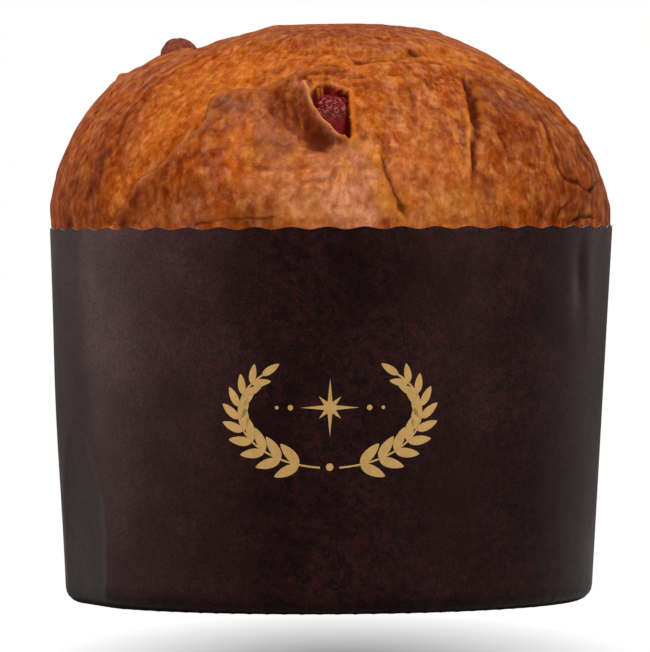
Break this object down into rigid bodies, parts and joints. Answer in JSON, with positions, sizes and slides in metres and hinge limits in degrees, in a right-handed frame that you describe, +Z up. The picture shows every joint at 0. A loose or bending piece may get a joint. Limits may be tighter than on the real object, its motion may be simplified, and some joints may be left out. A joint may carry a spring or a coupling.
{
  "type": "panettone in a paper case",
  "caption": "Tall domed sweet bread with a torn, folded crust and candied fruit, in a round dark paper baking case with a waved rim.",
  "frame": {"origin": "middle of the underside, where the folded foot of the paper case meets the surface it stands on", "axes": "+Z up through the middle of the dome; -Y is the front, the side with the cherry and the ornament; +X is to the right seen from the front"},
  "size_m": [0.17, 0.1703, 0.1739],
  "materials": {
    "case_paper": "satin",
    "case_card": "matte",
    "crust": "satin",
    "candied_fruit": "gloss",
    "dried_fruit": "satin"
  },
  "bodies": {
    "root": {"case_wall": "case_paper", "case_base": "case_card", "loaf": "crust", "cherry": "candied_fruit", "raisin": "dried_fruit"}
  },
  "joints": []
}
